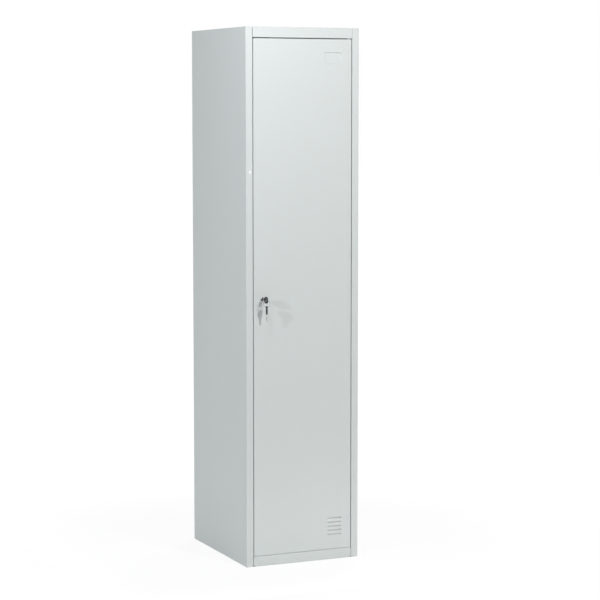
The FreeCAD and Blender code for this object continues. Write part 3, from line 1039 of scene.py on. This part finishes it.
@dataclass
class Fasteners:
    """Rivets of the back panel and screws of the coat hooks."""

    seed: int = 7
    rivet: Dome = Dome(radius=3 * MM, height=1.2 * MM, rings=6)
    screw: Dome = Dome(radius=3.4 * MM, height=1.7 * MM, power=4, rings=10)
    recess: CrossRecess = CrossRecess(half_width=0.45 * MM, reach=1.8 * MM, depth=1.1 * MM)
    rivet_inset: float = 10 * MM
    rivet_height: float = 100 * MM
    rivet_step: float = 168 * MM
    rivet_count: int = 11
    hook_plate: float = 2 * MM
    screw_drop: float = 27 * MM
    screw_step: float = 18 * MM
    screw_count: int = 2

    def rows(self) -> list[FastenerRow]:
        """Places of the fasteners.

        Returns:
            Two rows of rivets on the back's inside, and two screws on each hook's plate.
        """
        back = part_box("back_panel")[0].y
        rivet_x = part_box("side_panel_right")[1].x - self.rivet_inset
        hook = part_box("coat_hook_right")[1]
        screw_x, screw_z = hook.x - self.hook_plate, hook.z - self.screw_drop
        screw_y = middle("coat_hook_right").y
        rows = []
        for side, word in ((-1, "left"), (1, "right")):
            rivets = FastenerRow(
                f"back_rivets_{word}",
                Head.RIVET,
                start=(side * rivet_x, back, self.rivet_height),
                step=self.rivet_step,
                count=self.rivet_count,
                facing=(QUARTER_TURN, 0, 0),
            )
            screws = FastenerRow(
                f"hook_screws_{word}",
                Head.SCREW,
                start=(side * screw_x, screw_y, screw_z),
                step=self.screw_step,
                count=self.screw_count,
                facing=(0, -side * QUARTER_TURN, 0),
            )
            rows += [rivets, screws]
        return rows

    def pattern(self, head: Head) -> bpy.types.Object:
        """Object that a row repeats.

        Args:
            head: Kind of head.

        Returns:
            The object, which is in no collection.
        """
        dome = self.rivet if head is Head.RIVET else self.screw
        form = lathe(dome.outline() + [(0, 0)])
        if head is Head.SCREW:
            self.recess.cut(form, dome.height)
        mesh = bpy.data.meshes.new(head.value)
        form.to_mesh(mesh)
        form.free()
        return bpy.data.objects.new(head.value, mesh)

    def graph(self, material: bpy.types.Material) -> FormGraph:
        """Row of heads by geometry nodes.

        Args:
            material: Heads' finish.

        Returns:
            The node group.
        """
        graph = FormGraph("fastener_row")
        line = graph.node(
            "GeometryNodeMeshLine",
            inputs={
                "Count": graph.given("Count", "Int"),
                "Start Location": graph.given("Start", "Vector"),
                "Offset": graph.given("Step", "Vector"),
            },
        )
        head = graph.node("GeometryNodeObjectInfo", inputs={"Object": graph.given("Head", "Object")})
        spin = graph.node(
            "FunctionNodeRandomValue",
            {"data_type": "FLOAT_VECTOR"},
            {0: (0, 0, 0), 1: (0, 0, math.tau), "Seed": graph.given("Seed", "Int")},
        )
        set_heads = graph.node(
            "GeometryNodeInstanceOnPoints",
            inputs={"Points": line.outputs[0], "Instance": head.outputs["Geometry"]},
        )
        faced = graph.node(
            "GeometryNodeRotateInstances",
            inputs={"Instances": set_heads.outputs[0], "Rotation": graph.given("Facing", "Rotation")},
        )
        spun = graph.node(
            "GeometryNodeRotateInstances",
            inputs={"Instances": faced.outputs[0], "Rotation": spin.outputs[0]},
        )
        graph.close(spun.outputs[0], material)
        return graph

    def build(self, fitter: Fitter) -> None:
        """Sets every row.

        Args:
            fitter: Takes the finished pieces.
        """
        patterns = {head: self.pattern(head) for head in Head}
        graph = self.graph(fitter.shop.shared[Slot.ZINC])
        for row in self.rows():
            values = {
                "Count": row.count,
                "Start": row.start,
                "Step": (0, 0, row.step),
                "Head": patterns[row.head],
                "Seed": self.seed,
                "Facing": row.facing,
            }
            fitter.fit(graph.mesh(row.name, values), Body.CARCASS, Slot.ZINC)
        for pattern in patterns.values():
            bpy.data.objects.remove(pattern)


@dataclass
class KeySet:
    """Key in the lock, its split ring and the spare key that hangs on it."""

    eye_to_wire: float = 1.95 * MM

    def build(self, fitter: Fitter) -> None:
        """Builds both bows and the ring about the joints that they swing on.

        Args:
            fitter: Takes the finished pieces.
        """
        joints = {joint["name"]: joint for joint in frame["joints"]}
        upper = Vector(joints["ring_swing"]["pos_m"])
        lower = Vector(joints["spare_key_swing"]["pos_m"])
        swing = Vector(joints["ring_swing"]["axis"])
        offset = Vector((0, 0, self.eye_to_wire))
        turn = Matrix.Rotation(math.atan2(swing.y, swing.x), 4, "Z")
        spare = Matrix.Translation(lower - offset) @ turn @ Matrix.Rotation(-QUARTER_TURN, 4, "X")
        KeyBow("key_bow", Body.KEY, Matrix.Translation(upper + offset)).build(fitter)
        KeyBow("spare_key_bow", Body.SPARE_KEY, spare).build(fitter)
        ring = aimed((upper + lower) / 2, (-swing.y, swing.x, 0))
        SplitRing(ring, radius=(upper - lower).length / 2).build(fitter)


@dataclass(frozen=True)
class Lamp:
    """Soft rectangular lamp aimed at a point."""

    name: str
    place: Point
    target: Point
    size: tuple[float, float]
    power: float
    colour: Colour = WHITE

    def build(self) -> None:
        """Adds the lamp."""
        light = bpy.data.lights.new(self.name, "AREA")
        light.shape = "RECTANGLE"
        light.size, light.size_y = self.size
        light.energy = self.power
        light.color = self.colour
        lamp = bpy.data.objects.new(self.name, light)
        lamp.location = self.place
        way = Vector(self.target) - Vector(self.place)
        lamp.rotation_euler = way.to_track_quat("-Z", "Y").to_euler()
        lamp.visible_camera = False
        bpy.context.scene.collection.objects.link(lamp)


@dataclass
class Studio:
    """Pale floor, soft lamps, white surround and the photograph's camera."""

    camera_place: Point = (-2.737, -6.370, 1.573)
    camera_yaw: float = 24.01
    camera_pitch: float = 5.66
    focal_pixels: float = 1977
    image_pixels: float = 600
    sensor_width: float = 36
    floor_size: float = 60
    floor_albedo: float = 0.8
    floor_glow: float = 1.03
    shadow_share: float = 0.12
    shadow_reach: float = 1.6
    shadow_core: float = 1 / 3
    shadow_edge: float = 2 * MM
    surround: float = 0.23
    surround_colour: Colour = (0.97, 0.985, 1)

    def lamps(self) -> tuple[Lamp, ...]:
        """Lamps of the studio.

        Returns:
            The key at the front right, weak lamps at the left and over the door, one behind the locker for
            the sides that the photograph doesn't show, and two low strips for light off the floor.
        """
        return (
            Lamp("key", place=(1.12, -4.28, 2.89), target=(0, -0.25, 1.0), size=(0.3, 0.3), power=102),
            Lamp(
                "left",
                place=(-2.87, -1.37, 1.78),
                target=(-0.1, -0.2, 1.0),
                size=(0.14, 0.14),
                power=26,
                colour=(0.925, 0.965, 1),
            ),
            Lamp(
                "side",
                place=(-3.9, 2.6, 0.9),
                target=(-0.2, 0.1, 0.8),
                size=(2.0, 1.8),
                power=18.5,
                colour=(0.89, 0.95, 1),
            ),
            Lamp(
                "top",
                place=(-0.75, -1.0, 2.5),
                target=(0, -0.25, 1.7),
                size=(0.3, 0.3),
                power=7.2,
                colour=(0.96, 0.98, 1),
            ),
            Lamp("rear", place=(2.7, 3.2, 3.5), target=(0, 0, 1.0), size=(1.4, 1.4), power=95),
            Lamp(
                "low_front",
                place=(0, -0.65, 0.05),
                target=(0, -0.25, 0.04),
                size=(1.6, 0.08),
                power=0.52,
            ),
            Lamp(
                "low_side",
                place=(-0.8, 0.05, 0.05),
                target=(-0.2, 0.05, 0.04),
                size=(1.2, 0.08),
                power=0.28,
            ),
        )

    def seen(self, graph: Graph) -> Shade:
        """1 where a camera, mirror or glass ray looks straight at the surround.

        Args:
            graph: Graph to add nodes to.

        Returns:
            The switch's value.
        """
        path = graph.node("ShaderNodeLightPath")
        kinds = ("Camera", "Glossy", "Transmission")
        camera, mirror, glass = (Shade(graph, path.outputs[f"Is {kind} Ray"]) for kind in kinds)
        return camera.higher(mirror).higher(glass)

    def under(self, graph: Graph) -> Shade:
        """1 on the floor under the locker, where nothing shines.

        Args:
            graph: Graph to add nodes to.

        Returns:
            The mask's value.
        """
        split = graph.node("ShaderNodeSeparateXYZ", inputs={"Vector": graph.place()})
        low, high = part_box("side_panel_left")[0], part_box("side_panel_right")[1]
        inside = 1
        for axis in range(2):
            along = Shade(graph, split.outputs[axis])
            depth = (along - low[axis]).lower(high[axis] - along)
            inside = depth.ramp(0, self.shadow_edge) * inside
        return inside

    def build_floor(self) -> None:
        """Adds the white floor, which keeps a share of the locker's shadow."""
        half = self.floor_size / 2
        mesh = bpy.data.meshes.new("floor")
        corners = [(-half, -half, 0), (half, -half, 0), (half, half, 0), (-half, half, 0)]
        mesh.from_pydata(corners, [], [(0, 1, 2, 3)])
        floor = bpy.data.objects.new("floor", mesh)
        bpy.context.scene.collection.objects.link(floor)
        material, graph = new_graph("studio_floor")
        grey = (self.floor_albedo, self.floor_albedo, self.floor_albedo, 1)
        matt = graph.out("ShaderNodeBsdfDiffuse", inputs={"Color": grey})
        white = graph.out("ShaderNodeEmission", inputs={"Color": (*WHITE, 1), "Strength": self.floor_glow})
        away = graph.out("ShaderNodeVectorMath", {"operation": "LENGTH"}, {0: graph.place()}, socket="Value")
        near = away.ramp(self.shadow_reach, self.shadow_reach * self.shadow_core)
        bright = self.seen(graph) * (1 - near * self.shadow_share) * (1 - self.under(graph))
        both = graph.out("ShaderNodeMixShader", inputs={0: bright, 1: matt, 2: white})
        graph.node("ShaderNodeOutputMaterial", inputs={"Surface": both})
        mesh.materials.append(material)

    def build_surround(self) -> None:
        """Sets the even light that comes from all round."""
        world = bpy.data.worlds.new("surround")
        world.use_nodes = True
        graph = Graph(world.node_tree)
        tint = (*self.surround_colour, 1)
        even = graph.out("ShaderNodeBackground", inputs={"Color": tint, "Strength": self.surround})
        white = graph.out("ShaderNodeBackground", inputs={"Color": (*WHITE, 1), "Strength": 1.0})
        both = graph.out("ShaderNodeMixShader", inputs={0: self.seen(graph), 1: even, 2: white})
        graph.node("ShaderNodeOutputWorld", inputs={"Surface": both})
        bpy.context.scene.world = world

    def build_camera(self) -> None:
        """Adds the camera at the photograph's place."""
        data = bpy.data.cameras.new("camera")
        data.sensor_width = self.sensor_width
        data.lens = self.focal_pixels / self.image_pixels * self.sensor_width
        data.clip_end = 2 * self.floor_size
        camera = bpy.data.objects.new("camera", data)
        camera.location = self.camera_place
        camera.rotation_euler = (math.radians(90 - self.camera_pitch), 0, math.radians(-self.camera_yaw))
        bpy.context.scene.collection.objects.link(camera)
        bpy.context.scene.camera = camera

    def build(self) -> None:
        """Sets up the whole studio."""
        bpy.context.scene.view_settings.view_transform = "Standard"
        self.build_floor()
        self.build_surround()
        for lamp in self.lamps():
            lamp.build()
        self.build_camera()


def main() -> None:
    """Builds the locker's looks and its studio."""
    logging.basicConfig(level=logging.INFO)
    shop = Paintshop()
    shop.dress()
    fitter = Fitter(shop)
    for assembly in (KeySet(), CamScrew(), TurnedFittings(), Fasteners()):
        assembly.build(fitter)
    Studio().build()


if __name__ == "__main__":
    main()
